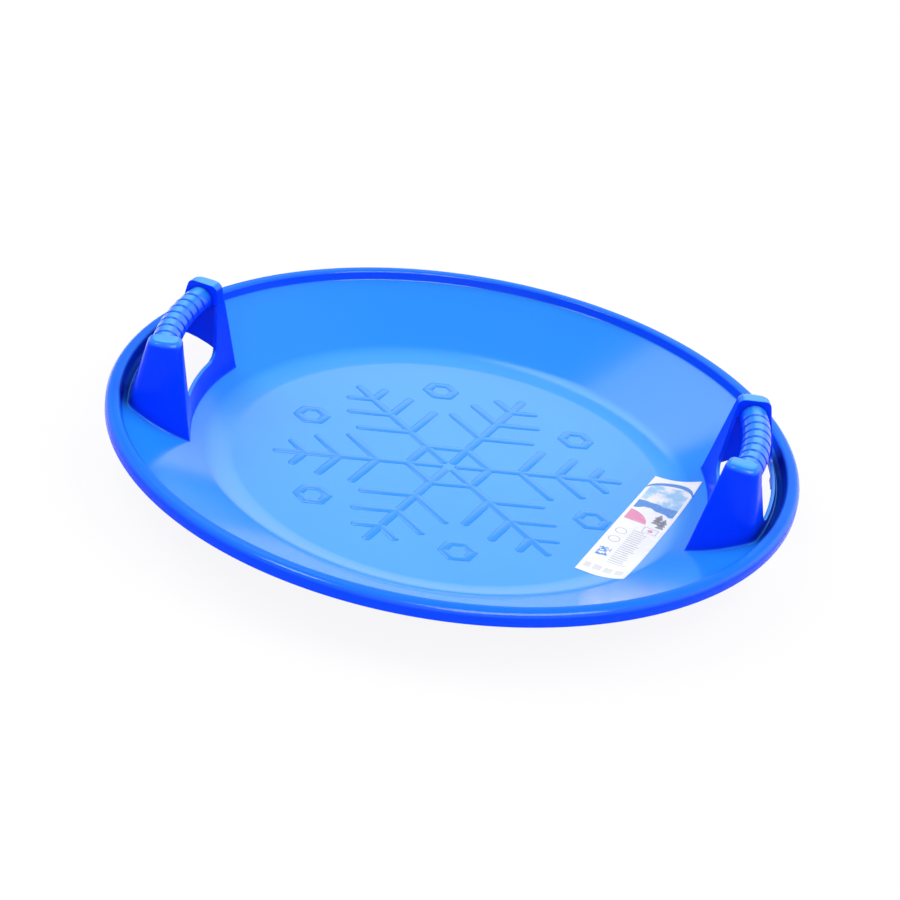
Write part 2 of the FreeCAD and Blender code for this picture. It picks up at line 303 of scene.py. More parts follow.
def moulded_plastic(name, part, upward, bend, rim=None):
    """Glossy plastic with painted light, paler where it faces up, with painted shade in its creases and on
    the rim bead, and with flow marks.
    """
    finish = Finish(name)
    facing = finish.axes(finish.node("ShaderNodeTexCoord", {}, {}, "Normal"))[2]
    # Painted shade: ambient occlusion from faces within this reach darkens creases and hollows
    nearby = {"Distance": part.painted_shade_reach}
    open_air = finish.node("ShaderNodeAmbientOcclusion", {"samples": 8}, nearby, "AO")
    # Painted light: the upright faces' deep blue pales towards the slope's blue as a face turns up
    painted_slope_light = facing.ease(*bend)
    flow_marks = finish.noise(7.0, 3.0).ease(0.35, 0.7) * 0.12
    # Painted light: faces that look up are paler still, broken by random flow marks in the plastic
    lift = facing.ease(0.90, 1.0) * (1.0 - flow_marks)
    shine = (0.08 + facing.ease(0.28, 0.62) * 0.62 + facing.ease(0.92, 1.0) * 0.30) * part.gloss
    # light is 1 in the open and falls to 0 where the painted crease shade is full
    light = open_air.ease(0.15, 0.80)
    if rim:
        across, along, _ = finish.axes(finish.coords)
        radius = (across ** 2 + along ** 2) ** 0.5
        # Painted shade on the rim bead: its painted light from the facing is held lower and its sheen
        # weaker, so the bead shows deeper blue
        painted_rim_shade = radius.ease(rim - 0.004, rim + 0.001)
        crest = facing.ease(0.80, 0.97)
        painted_slope_light = painted_slope_light + (facing.ease(0.15, 1.0) * 0.55 - painted_slope_light) * painted_rim_shade
        lift = lift * (1.0 - painted_rim_shade)
        shine = shine * (1.0 - painted_rim_shade * (0.30 + crest * 0.6))
        # The gutter between the bead and a hand-hold lies in deep shade
        gutter = radius.ease(rim - 0.012, rim - 0.006) * (1.0 - radius.ease(rim - 0.001, rim + 0.002))
        beside_hold = 1.0 - abs(along).ease(0.050, 0.085)
        light = light * (1.0 - gutter * beside_hold * 0.8)
    # Base colour: painted light from the facing, then painted shade where nearby faces close in
    plain = finish.mix(lift, finish.mix(painted_slope_light, part.side_colour, part.slope_colour), upward)
    finish.set(Base_Color=finish.mix(light, PAINTED_CREASE_SHADE, plain))
    finish.set(Roughness=0.14 + finish.noise(30.0, 4.0) * 0.06)
    finish.set(Specular_IOR_Level=0.06, Specular_Tint=(0.10, 0.45, 1.0, 1.0))
    finish.set(Coat_Weight=shine * open_air.ease(0.45, 0.92) * light, Coat_IOR=1.66, Coat_Roughness=0.14)
    finish.bump(finish.noise(16.0, 1.0), 0.35, 0.0006)
    return finish.material


def settings():
    return bpy.context.scene.sled


def bowl_height(radius):
    """Height of the bowl's inner face at a radius."""
    dish = settings().dish
    rise = dish.rim_height - dish.bead_step - dish.wall
    slope = math.atan2(rise, dish.rim_radius - dish.bead_width - dish.floor_radius)
    bend_start = dish.floor_radius - dish.floor_curve * math.tan(slope / 2)
    bend_end = bend_start + dish.floor_curve * math.sin(slope)
    if radius <= bend_start:
        return dish.wall
    if radius >= bend_end:
        return dish.wall + (radius - dish.floor_radius) * math.tan(slope)
    depth = math.sqrt(dish.floor_curve ** 2 - (radius - bend_start) ** 2)
    return dish.wall + dish.floor_curve - depth


# A length or angle too small to count
TINY = 1e-6
# Turn from face to face that makes an edge sharp
SHARP_ANGLE = math.radians(32)


def soften(shape):
    for face in shape.faces:
        face.smooth = True


def smooth_faces(shape):
    """Smooth shading, with creases kept where faces meet at a sharp edge."""
    soften(shape)
    for edge in shape.edges:
        edge.smooth = len(edge.link_faces) == 2 and edge.calc_face_angle(0) < SHARP_ANGLE


def face_outward(shape):
    bmesh.ops.recalc_face_normals(shape, faces=shape.faces)


def weld(shape):
    """Joins vertices that lie in one place."""
    bmesh.ops.remove_doubles(shape, verts=shape.verts, dist=TINY)


def close_ends(shape):
    bmesh.ops.holes_fill(shape, edges=shape.edges, sides=0)
    face_outward(shape)


def round_off(shape, geom, offset, segments, affect="VERTICES", clamp=False):
    """Rounds corners or edges with arcs."""
    bmesh.ops.bevel(
        shape, geom=geom, offset=offset, offset_type="OFFSET", segments=segments, profile=0.5,
        affect=affect, clamp_overlap=clamp, material=-1,
    )


def spin_about_axis(shape, geom, angle, steps, merge=False):
    bmesh.ops.spin(
        shape, geom=geom, cent=(0, 0, 0), axis=(0, 0, 1), angle=angle, steps=steps, use_merge=merge
    )


def turn_about_axis(shape, verts, angle):
    """Turns vertices about the sled's axis."""
    bmesh.ops.rotate(shape, verts=verts, cent=(0, 0, 0), matrix=Matrix.Rotation(angle, 3, "Z"))


def join_halves(shape):
    """Mirrors a half across the sled's middle and closes the seam."""
    half = shape.verts[:] + shape.edges[:] + shape.faces[:]
    bmesh.ops.mirror(shape, geom=half, axis="Y", merge_dist=TINY)
    weld(shape)


def add_object(name, data):
    """Object in the scene that shows a mesh, lamp or camera."""
    made = bpy.data.objects.new(name, data)
    bpy.context.scene.collection.objects.link(made)
    return made


def mesh_object(name, shape):
    """Object that takes over a bmesh."""
    mesh = bpy.data.meshes.new(name)
    shape.to_mesh(mesh)
    shape.free()
    return add_object(name, mesh)


def place_piece(name, shape, material, stands_for=()):
    """Piece from a bmesh, riding on the sled's body."""
    piece = mesh_object(name, shape)
    piece.data.materials.append(material)
    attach(piece, BODY)
    if stands_for:
        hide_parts(*stands_for)
    return piece


SMALLEST_ROUND = 0.0006
# Outward part of the normal at which the foot's fillet starts to widen
FLARE_START = -0.4


class HandHold:
    """Plan and heights of a hand-hold, in the right hand-hold's place."""

    def __init__(self):
        dish = settings().dish
        hold = settings().hold
        self.hold = hold
        self.top = dish.rim_height + hold.rise
        self.inner_lean = math.tan(hold.inner_draft)
        self.outer_lean = math.tan(hold.outer_draft)
        bead_inner = dish.rim_radius - dish.bead_width
        self.crown_outer = bead_inner - hold.channel - hold.rise * self.outer_lean
        self.crown_inner = self.crown_outer - hold.crown_width
        self.grip_radius = self.crown_outer - hold.grip_inset
        self.grip_top = self.top - hold.grip_drop
        self.parting = self.grip_top - hold.grip_crown
        self.grip_bottom = self.parting - hold.grip_band
        middle = self.crown_outer - hold.crown_width / 2
        half = hold.crown_length / 2
        end = Vector((math.sqrt(middle ** 2 - half ** 2), half))
        inward = Vector((math.sin(hold.end_splay), -math.cos(hold.end_splay)))
        self.end_centre = end + inward * hold.end_bow

    def meet(self, from_axis, from_end):
        """Plan point at a distance from the axis and a distance from the end's centre."""
        centre = self.end_centre
        reach = centre.length
        along = (from_axis ** 2 - from_end ** 2 + reach ** 2) / (2 * reach)
        aside = math.sqrt(from_axis ** 2 - along ** 2)
        return (centre * along + Vector((-centre.y, centre.x)) * aside) / reach

    def inner_radius(self, height, inset):
        return self.crown_inner + inset - (self.top - height) * self.inner_lean

    def spread(self, height, inset):
        return (self.top - height) * self.outer_lean - inset

    def window_side(self, radius, height, floor):
        """Angle of the window's side on a circle, rounded into the level below it."""
        hold = self.hold
        level = min(max(height, floor), self.grip_bottom)
        half = hold.crown_length / 2 - hold.post_length
        half -= (self.top - level) * math.tan(hold.window_draft)
        corner = min(max(0.0, hold.window_corner - (level - floor)), hold.window_corner)
        half -= hold.window_corner - math.sqrt(hold.window_corner ** 2 - corner ** 2)
        aside = half
        for _ in range(4):
            ahead = math.sqrt(radius ** 2 - aside ** 2)
            aside = half + (ahead - self.grip_radius) * math.tan(hold.window_splay)
        return math.asin(aside / radius)

    def nook_radius(self, height, inset):
        """Radius of the inner corner, which tightens towards the foot."""
        share = min(1.0, (self.top - height) / (self.top - settings().dish.wall))
        radius = self.hold.inner_corner + (self.hold.foot_corner - self.hold.inner_corner) * share
        return max(radius - inset, SMALLEST_ROUND)

    def flare(self, place, normal):
        """Reach of the foot's fillet, least on the inner face and full on the outer face."""
        outward = normal.xy.normalized().dot(place.xy.normalized())
        share = min(max(outward - FLARE_START, 0.0), 1.0)
        return self.hold.inner_flare + (self.hold.outer_flare - self.hold.inner_flare) * share


def turn(first, second, share):
    """Direction part of the way from one unit vector to another."""
    swing = first.angle_signed(second)
    return first.copy() if abs(swing) < TINY else Matrix.Rotation(-swing * share, 2) @ first


# Shares of each stretch of the outline at which the cage has a column
STRIP = (0, 0.25, 0.5, 0.75, 0.93)
POST = (0, 0.12, 0.4, 0.7)
NOOK = (0, 0.33, 0.67)
END = (0, 0.15, 0.3, 0.45, 0.6, 0.8)
CORNER = (0, 0.15, 0.3, 0.45, 0.6, 0.75, 0.9)


def plan_columns():
    """Stations around half a hand-hold, from the inner middle to the outer middle."""
    stations = []
    for kind, shares in (
        ("inner_strip", STRIP), ("inner_post", POST), ("nook", NOOK), ("end", END), ("corner", CORNER),
        ("outer_post", [0] + [1 - share for share in reversed(POST[1:])]),
        ("outer_strip", [0] + [1 - share for share in reversed(STRIP)]),
    ):
        stations += [(kind, share) for share in shares]
    return stations


def plan_point(plan, station, height, inset, sill, lip):
    """Place of a station on the hand-hold's outline at a height."""
    kind, share = station
    hold = plan.hold
    inner = plan.inner_radius(height, inset)
    spread = plan.spread(height, inset)
    bow = hold.end_bow + spread
    nook = plan.nook_radius(height, inset)
    nook_centre = plan.meet(inner + nook, bow - nook)
    nook_out = (nook_centre - plan.end_centre).normalized()
    nook_angle = math.atan2(nook_centre.y, nook_centre.x)
    corner = hold.crown_corner + (spread + inset) * hold.corner_growth - inset
    corner_centre = plan.meet(plan.crown_outer + spread - corner, bow - corner)
    corner_out = corner_centre.normalized()
    corner_end = (corner_centre - plan.end_centre).normalized()
    if kind == "nook":
        return nook_centre + turn(-nook_centre.normalized(), nook_out, share) * nook
    if kind == "end":
        return plan.end_centre + turn(nook_out, corner_end, share) * bow
    if kind == "corner":
        return corner_centre + turn(corner_end, corner_out, share) * corner
    if kind in ("inner_strip", "inner_post"):
        radius = inner
        side = plan.window_side(radius, height, sill)
        swing = side * share if kind == "inner_strip" else side + (nook_angle - side) * share
    else:
        radius = plan.crown_outer + spread
        side = plan.window_side(radius, height, lip)
        far = math.atan2(corner_out.y, corner_out.x)
        swing = far + (side - far) * share if kind == "outer_post" else side * (1 - share)
    return Vector((math.cos(swing), math.sin(swing))) * radius


def outward_share(station):
    """0 on the inner face, rising along the end to 1 on the outer face."""
    kind, share = station
    return {"inner_strip": 0, "inner_post": 0, "nook": 0, "end": share}.get(kind, 1)


# Shares of the window's corner, and of the upright above it, at which the cage has a row
CORNER_ROWS = (0, 0.18, 0.42, 0.7, 1)
UPRIGHT_ROWS = (0.3, 0.6, 0.9, 1)
CROWN_STEPS = 4
WEB_CUTS = 6
# Border around the flat of a post's top
CAP_INSET = 0.0018


def row_levels(plan, sill, lip):
    """Heights of the rows from the sill up, inner and outer, each with its inset."""
    hold = plan.hold
    corner = hold.window_corner
    rows = [(sill + corner * rise, lip + corner * rise, 0) for rise in CORNER_ROWS]
    shoulder = plan.top - hold.crown_round
    start, end = rows[-1][:2], plan.grip_bottom
    for share in UPRIGHT_ROWS:
        rows.append((start[0] + (end - start[0]) * share, start[1] + (end - start[1]) * share, 0))
    for level in (plan.parting, (end + shoulder) / 2):
        rows.append((level, level, 0))
    for step in range(CROWN_STEPS + 1):
        lean = math.pi / 2 * step / CROWN_STEPS
        level = shoulder + hold.crown_round * math.sin(lean)
        rows.append((level, level, hold.crown_round * (1 - math.cos(lean))))
    return rows


def seat_point(plan, station, sill, lip, inset=0.0):
    """Place where a station's drafted face meets the dish."""
    height = sill
    for _ in range(8):
        point = plan_point(plan, station, height, inset, sill, lip)
        height = bowl_height(point.length)
    return Vector((*point, height))


# Shares of the foot fillet's height at which the cage has a row, the last halfway to the row above
FOOT_SHARES = (0, 0.09, 0.36, 1, 2)
# Share of the height over the dish that the inner skin keeps at the foot
INNER_LIFT = 0.3


def foot_row(plan, station, seat, above, share, sill, lip):
    """Place on the foot, at a share of its fillet's height or halfway from there to the row above."""
    fillet_top = seat.z + plan.hold.foot_fillet
    height = (fillet_top + above) / 2 if share > 1 else seat.z + plan.hold.foot_fillet * share
    return Vector((*plan_point(plan, station, height, 0, sill, lip), height))


def hand_hold_shell(plan):
    """Cage of a hand-hold's open shell: walls, window, webs over the grip and caps."""
    hold = plan.hold
    inner_foot = seat_point(plan, ("inner_post", 0), plan.parting, plan.parting).z
    outer_foot = seat_point(plan, ("outer_post", 1), plan.parting, plan.parting).z
    sill = inner_foot + hold.sill_height
    lip = outer_foot + hold.lip_height
    stations = plan_columns()
    levels = row_levels(plan, sill, lip)
    seats = [seat_point(plan, station, sill, lip) for station in stations]
    columns, rows = len(stations), len(levels) + len(FOOT_SHARES)
    sill_row = len(FOOT_SHARES)
    grip_row = sill_row + len(CORNER_ROWS) + len(UPRIGHT_ROWS) - 1

    shape = bmesh.new()
    bmesh.ops.create_grid(shape, x_segments=columns - 1, y_segments=rows - 1, size=1)
    shape.verts.ensure_lookup_table()
    for vert in shape.verts:
        row, column = divmod(vert.index, columns)
        station = stations[column]
        low, high, inset = levels[max(0, row - sill_row)]
        height = low + (high - low) * outward_share(station)
        if row < sill_row:
            vert.co = foot_row(plan, station, seats[column], height, FOOT_SHARES[row], sill, lip)
        else:
            vert.co = (*plan_point(plan, station, height, inset, sill, lip), height)

    inner_side, outer_side = len(STRIP), columns - 1 - len(STRIP)

    def open_face(face):
        spots = [divmod(vert.index, columns) for vert in face.verts]
        over = min(row for row, _ in spots) >= sill_row
        inside = max(column for _, column in spots) <= inner_side
        outside = min(column for _, column in spots) >= outer_side
        return over and (inside or outside)

    sides = [
        [shape.verts[row * columns + side] for row in range(grip_row, rows)]
        for side in (inner_side, outer_side)
    ]
    window = [face for face in shape.faces if open_face(face)]
    bmesh.ops.delete(shape, geom=window, context="FACES")
    rails = [shape.edges.get(pair) for side in sides for pair in zip(side, side[1:])]
    bmesh.ops.bridge_loops(shape, edges=rails)
    across = [shape.edges.get(pair) for pair in zip(*sides)]
    bmesh.ops.subdivide_edges(shape, edges=across, cuts=WEB_CUTS, use_grid_fill=True)
    crown = [
        edge for edge in shape.edges
        if edge.is_boundary and min(vert.co.z for vert in edge.verts) > plan.top - TINY
    ]
    cap = bmesh.ops.contextual_create(shape, geom=crown)["faces"]
    bmesh.ops.inset_region(shape, faces=cap, thickness=CAP_INSET, use_even_offset=True)
    join_halves(shape)
    face_outward(shape)
    return shape


def thicken_shell(plan, shape):
    """Gives the shell its wall and runs its foot out on the dish in a fillet."""
    hold = plan.hold
    depths = {vert: vert.normal * vert.calc_shell_factor() for vert in shape.verts}
    rims = [edge.verts[:] for edge in shape.edges if edge.is_boundary]
    skin = bmesh.ops.duplicate(shape, geom=shape.verts[:] + shape.edges[:] + shape.faces[:])
    inner = {vert: skin["vert_map"][vert] for vert in depths}
    feet = set()
    for vert, depth in depths.items():
        lift = vert.co.z - bowl_height(vert.co.xy.length)
        back = inner[vert]
        back.co = vert.co - depth * hold.wall
        back.co.z = max(back.co.z, bowl_height(back.co.xy.length) + hold.seat + lift * INNER_LIFT)
        if lift > hold.foot_fillet - TINY:
            continue
        share = (1 - math.sqrt(max(lift, 0.0) / hold.foot_fillet)) ** 2
        vert.co.xy += depth.xy.normalized() * plan.flare(vert.co, depth) * share
        vert.co.z += (bowl_height(vert.co.xy.length) - vert.co.z + lift) * share
        if lift < TINY:
            feet.update((vert, back))
            for foot in (vert, back):
                foot.co.z = bowl_height(foot.co.xy.length) + hold.seat
    crease = shape.edges.layers.float.new("crease_edge")
    foot_crease, edge_crease = 1.0, 0.5
    for first, second in rims:
        shape.faces.new((first, second, inner[second], inner[first]))
        for pair in ((first, second), (inner[first], inner[second])):
            shape.edges.get(pair)[crease] = foot_crease if feet.issuperset(pair) else edge_crease
    face_outward(shape)


GROOVE_FULLNESS = 0.7
GRIP_STEPS = 300


def grip_bar(plan):
    """Ribbed grip: a channel section spun about the dish's axis, its crown grooved."""
    hold = plan.hold
    half = hold.grip_width / 2
    inner_half = half - hold.grip_wall
    arc = (half ** 2 + hold.grip_crown ** 2) / (2 * hold.grip_crown)
    centre = Vector((plan.grip_radius, 0, plan.grip_top - arc))
    shape = bmesh.new()

    def spot(offset, height):
        return shape.verts.new((plan.grip_radius + offset, 0, height))

    def crown(radius, reach, steps):
        """Arc over the grip, from its outer side to its inner side."""
        swing = math.asin(reach / radius)
        start = spot(reach, centre.z + radius * math.cos(swing))
        made = bmesh.ops.spin(
            shape, geom=[start], cent=centre, axis=(0, -1, 0), angle=2 * swing, steps=steps
        )
        last = [item for item in made["geom_last"] if isinstance(item, bmesh.types.BMVert)][0]
        return start, last

    outer_first, outer_last = crown(arc, half, 22)
    inner_first, inner_last = crown(arc - hold.grip_wall, inner_half, 10)
    for first, second, offset in ((outer_first, inner_first, 1), (outer_last, inner_last, -1)):
        outside = spot(offset * half, plan.grip_bottom)
        inside = spot(offset * inner_half, plan.grip_bottom)
        for pair in ((first, outside), (outside, inside), (inside, second)):
            shape.edges.new(pair)
    corners = [vert for vert in shape.verts if abs(vert.co.z - plan.grip_bottom) < TINY]
    round_off(shape, corners, hold.edge_round, 3)
    reach = math.asin((hold.crown_length / 2 - hold.post_length + hold.wall / 2) / plan.grip_radius)
    section = shape.verts[:] + shape.edges[:]
    turn_about_axis(shape, shape.verts, -reach)
    spin_about_axis(shape, section, 2 * reach, GRIP_STEPS)
    weld(shape)
    close_ends(shape)

    first = -(hold.groove_count - 1) / 2 * hold.groove_pitch
    inner_drop = hold.grip_wall / 2
    for vert in shape.verts:
        flat = vert.co.xy
        height = vert.co.z
        offset = Vector((flat.length - plan.grip_radius, height - centre.z))
        if height < plan.parting - TINY or offset.length < arc - inner_drop:
            continue
        travel = math.atan2(flat.y, flat.x) * plan.grip_radius
        near = min(abs(travel - first - number * hold.groove_pitch) for number in range(hold.groove_count))
        share = max(0.0, 1 - (near / (hold.groove_width / 2)) ** 2)
        deep = offset * (1 - hold.groove_depth * share ** GROOVE_FULLNESS / arc)
        vert.co.xy = flat.normalized() * (plan.grip_radius + deep.x)
        vert.co.z = centre.z + deep.y
    return shape


def snap_hooks(plan):
    """Four hooks that drop through the aperture and catch under the dish."""
    hold = plan.hold
    dish = settings().dish
    run = dish.rim_radius - dish.bead_width - dish.floor_radius
    slope = math.atan2(dish.rim_height - dish.bead_step - dish.wall, run)
    shape = bmesh.new()

    def bowl(radius, lift):
        return bowl_height(radius) + lift / math.cos(slope)

    def throat(outward, lift):
        """Radius of the aperture's side at a depth below the bowl."""
        radius = plan.grip_radius
        for _ in range(12):
            height = bowl(radius, lift)
            if outward > 0:
                radius = plan.crown_outer + plan.spread(height, hold.ledge)
            else:
                radius = plan.inner_radius(height, hold.ledge)
        return radius

    below = -dish.wall - hold.hook_gap
    for outward in (-1, 1):
        edge = throat(outward, 0)
        face = edge - outward * hold.hook_gap
        back = edge - outward * (hold.wall - hold.ledge)
        tip = throat(outward, -dish.wall) + outward * hold.hook_reach
        foot = bowl(edge, below) - hold.hook_depth
        top = bowl(edge, hold.wall)
        section = (
            (face, top), (face, bowl(face, below)), (tip, bowl(tip, below)),
            (tip, bowl(tip, below) - hold.hook_reach / 2), (face, foot), (back, foot), (back, top),
        )
        sweep = hold.hook_width / edge
        for side in (-1, 1):
            corners = [shape.verts.new((radius, 0, height)) for radius, height in section]
            turn_about_axis(shape, corners, (side * hold.hook_spread / edge - sweep) / 2)
            blade = shape.faces.new(corners)
            spin_about_axis(shape, [blade, *blade.edges, *corners], sweep, 8)
    face_outward(shape)
    edges = [edge for edge in shape.edges if edge.calc_face_angle(0) > SHARP_ANGLE]
    round_off(shape, edges, hold.hook_gap, 2, "EDGES", clamp=True)
    return shape


def aperture_block(plan):
    """Block that opens the dish under a hand-hold, inside the foot of its wall."""
    stations = plan_columns()
    bottom, top = -0.01, plan.parting
    shape = bmesh.new()
    bmesh.ops.create_grid(shape, x_segments=len(stations) - 1, y_segments=1, size=1)
    for vert in shape.verts:
        row, column = divmod(vert.index, len(stations))
        point = seat_point(plan, stations[column], plan.parting, plan.parting, plan.hold.ledge)
        vert.co = (point.x, point.y, top if row else bottom)
    join_halves(shape)
    close_ends(shape)
    return shape


def cut_away(piece, shape):
    """Takes a block out of a piece and leaves the result in its mesh."""
    block = mesh_object("aperture", shape)
    cut = piece.modifiers.new("aperture", "BOOLEAN")
    cut.object = block
    cut.operation = "DIFFERENCE"
    cut.solver = "EXACT"
    ready = piece.evaluated_get(bpy.context.evaluated_depsgraph_get())
    spent = (piece.data, block.data)
    piece.data = bpy.data.meshes.new_from_object(ready)
    piece.modifiers.clear()
    bpy.data.objects.remove(block)
    for mesh in spent:
        bpy.data.meshes.remove(mesh)


DISH_STEPS = 288
# The two rounds of the hem stop just short of each other
HEM_FULLNESS = 0.98


class SLED_OT_dish(bpy.types.Operator):
    """Spin the dish from its section and open it under the hand-holds"""

    bl_idname = "sled.dish"
    bl_label = "Dish"

    def execute(self, context):
        dish = settings().dish
        bead_inner = dish.rim_radius - dish.bead_width
        bead_foot = dish.rim_height - dish.bead_step
        lean_foot = bowl_height(bead_inner - dish.bead_lean)
        lean = math.atan2(dish.rim_height - lean_foot, dish.bead_lean)
        hem = dish.rim_height - dish.bead_skirt
        hollow = dish.rim_height - dish.wall
        slope = math.atan2(bead_foot - dish.wall, bead_inner - dish.floor_radius)
        drop = dish.wall / math.cos(slope)
        under_bend = dish.floor_radius + dish.wall * math.tan(slope / 2)
        under_rim = bead_inner + dish.wall
        under_foot = bowl_height(under_rim) - drop
        hem_round = dish.wall / 2 * HEM_FULLNESS

        def reach(radius, swing):
            return radius * math.tan(swing / 2)

        # Corners of the section, each with the reach of its round and its segments
        section = [
            ((0, dish.wall), 0, 0),
            ((dish.floor_radius, dish.wall), reach(dish.floor_curve, slope), 14),
            ((bead_inner - dish.bead_lean, lean_foot), reach(dish.bead_root, lean - slope), 5),
            ((bead_inner, dish.rim_height), dish.bead_edge, 6),
            ((dish.rim_radius, dish.rim_height), dish.bead_round, 10),
            ((dish.rim_radius, hem), hem_round, 4),
            ((dish.rim_radius - dish.wall, hem), hem_round, 4),
            ((dish.rim_radius - dish.wall, hollow), dish.bead_round - dish.wall, 5),
            ((under_rim, hollow), dish.bead_edge / 2, 4),
            ((under_rim, under_foot), dish.wall, 4),
            ((under_bend, 0), reach(dish.floor_curve + dish.wall, slope), 14),
            ((0, 0), 0, 0),
        ]
        shape = bmesh.new()
        corners = [shape.verts.new((radius, 0, height)) for (radius, height), _, _ in section]
        for pair in zip(corners, corners[1:]):
            shape.edges.new(pair)
        for corner, (_, offset, segments) in zip(corners, section):
            if segments:
                round_off(shape, [corner], offset, segments)
        spin_about_axis(shape, shape.verts[:] + shape.edges[:], 2 * math.pi, DISH_STEPS, merge=True)
        weld(shape)
        face_outward(shape)
        soften(shape)

        material = moulded_plastic("dish_plastic", dish, dish.upward_colour, DISH_BEND, bead_inner)
        piece = place_piece("moulded_dish", shape, material, ["dish"])
        for half_turn in (0, math.pi):
            block = aperture_block(HandHold())
            turn_about_axis(block, block.verts, half_turn)
            cut_away(piece, block)
        trimmed = bmesh.new()
        trimmed.from_mesh(piece.data)
        smooth_faces(trimmed)
        trimmed.to_mesh(piece.data)
        trimmed.free()
        return {"FINISHED"}


class SLED_OT_hand_holds(bpy.types.Operator):
    """Model both hand-holds with their ribbed grips"""

    bl_idname = "sled.hand_holds"
    bl_label = "Hand-holds"

    def execute(self, context):
        hold = settings().hold
        material = moulded_plastic("hand_hold_plastic", hold, hold.upward_colour, HAND_HOLD_BEND)
        plan = HandHold()
        for side, half_turn in (("right", 0), ("left", math.pi)):
            shell = hand_hold_shell(plan)
            thicken_shell(plan, shell)
            soften(shell)
            grip = grip_bar(plan)
            hooks = snap_hooks(plan)
            smooth_faces(grip)
            smooth_faces(hooks)
            for name, shape in (("hand_hold", shell), ("grip", grip), ("hooks", hooks)):
                turn_about_axis(shape, shape.verts, half_turn)
                piece = place_piece(f"{side}_{name}", shape, material, [f"{side}_handle"])
                if name == "hand_hold":
                    rounding = piece.modifiers.new("rounding", "SUBSURF")
                    rounding.levels = rounding.render_levels = 2
        return {"FINISHED"}


class SLED_OT_emblem(bpy.types.Operator):
    """Raise a six-armed snow crystal from the floor"""

    bl_idname = "sled.emblem"
    bl_label = "Floor emblem"

    def execute(self, context):
        trim = settings().trim
        floor = settings().dish.wall
        shape = bmesh.new()

        def ridge(start, end):
            """Round-backed ridge on the floor between two plan points."""
            run = end - start
            made = bmesh.ops.create_uvsphere(
                shape, u_segments=16, v_segments=10, radius=trim.emblem_width / 2
            )["verts"]
            bmesh.ops.scale(shape, vec=(1, 1, trim.emblem_height * 2 / trim.emblem_width), verts=made)
            for vert in made:
                if abs(vert.co.x) > TINY:
                    vert.co.x += math.copysign(run.length / 2, vert.co.x)
            turn_about_axis(shape, made, math.atan2(run.y, run.x))
            middle = (start + end) / 2
            bmesh.ops.translate(shape, verts=made, vec=(middle.x, middle.y, floor))

        def turned(vector, angle):
            return Matrix.Rotation(angle, 2) @ vector

        # Places and sizes as shares of an arm's length
        arm_start, heart, hexagon_place, hexagon_size = 0.06, 0.24, 0.92, 0.085
        twigs = ((0.42, 0.30), (0.64, 0.24), (0.84, 0.14))
        sixth = math.radians(60)
        for number in range(6):
            arm = turned(Vector((trim.emblem_radius, 0)), sixth * number + trim.emblem_turn)
            after = turned(arm, sixth)
            ridge(arm * arm_start, arm)
            for place, size in twigs:
                for side in (-sixth, sixth):
                    ridge(arm * place, arm * place + turned(arm, side) * size)
            ridge(arm * heart, after * heart)
            middle = (arm + after).normalized() * trim.emblem_radius * hexagon_place
            corners = [turned(arm, sixth * corner) * hexagon_size for corner in range(7)]
            for first, second in zip(corners, corners[1:]):
                ridge(middle + first, middle + second)
        soften(shape)
        material = moulded_plastic("emblem_plastic", settings().dish, trim.emblem_colour, DISH_BEND)
        place_piece("snow_crystal", shape, material)
        return {"FINISHED"}


GLUE_LINE = 0.00012


class SLED_OT_label(bpy.types.Operator):
    """Lay the printed film over floor and wall"""

    bl_idname = "sled.label"
    bl_label = "Label"

    def execute(self, context):
        trim = settings().trim
        shape = bmesh.new()
        bmesh.ops.create_grid(shape, x_segments=24, y_segments=90, size=0.5)
        bmesh.ops.scale(shape, vec=(trim.label_width, trim.label_length, 1), verts=shape.verts)
        turn_about_axis(shape, shape.verts, trim.label_turn)
        bmesh.ops.translate(shape, verts=shape.verts, vec=(trim.label_x, trim.label_y, 0))
        for vert in shape.verts:
            vert.co.z = bowl_height(vert.co.xy.length) + trim.label_film + GLUE_LINE
        face_outward(shape)
        if sum(face.normal.z for face in shape.faces) < 0:
            bmesh.ops.reverse_faces(shape, faces=shape.faces)
        bmesh.ops.solidify(shape, geom=shape.faces, thickness=trim.label_film)
        smooth_faces(shape)
        place_piece("film_label", shape, label_print(trim), ["label"])
        return {"FINISHED"}


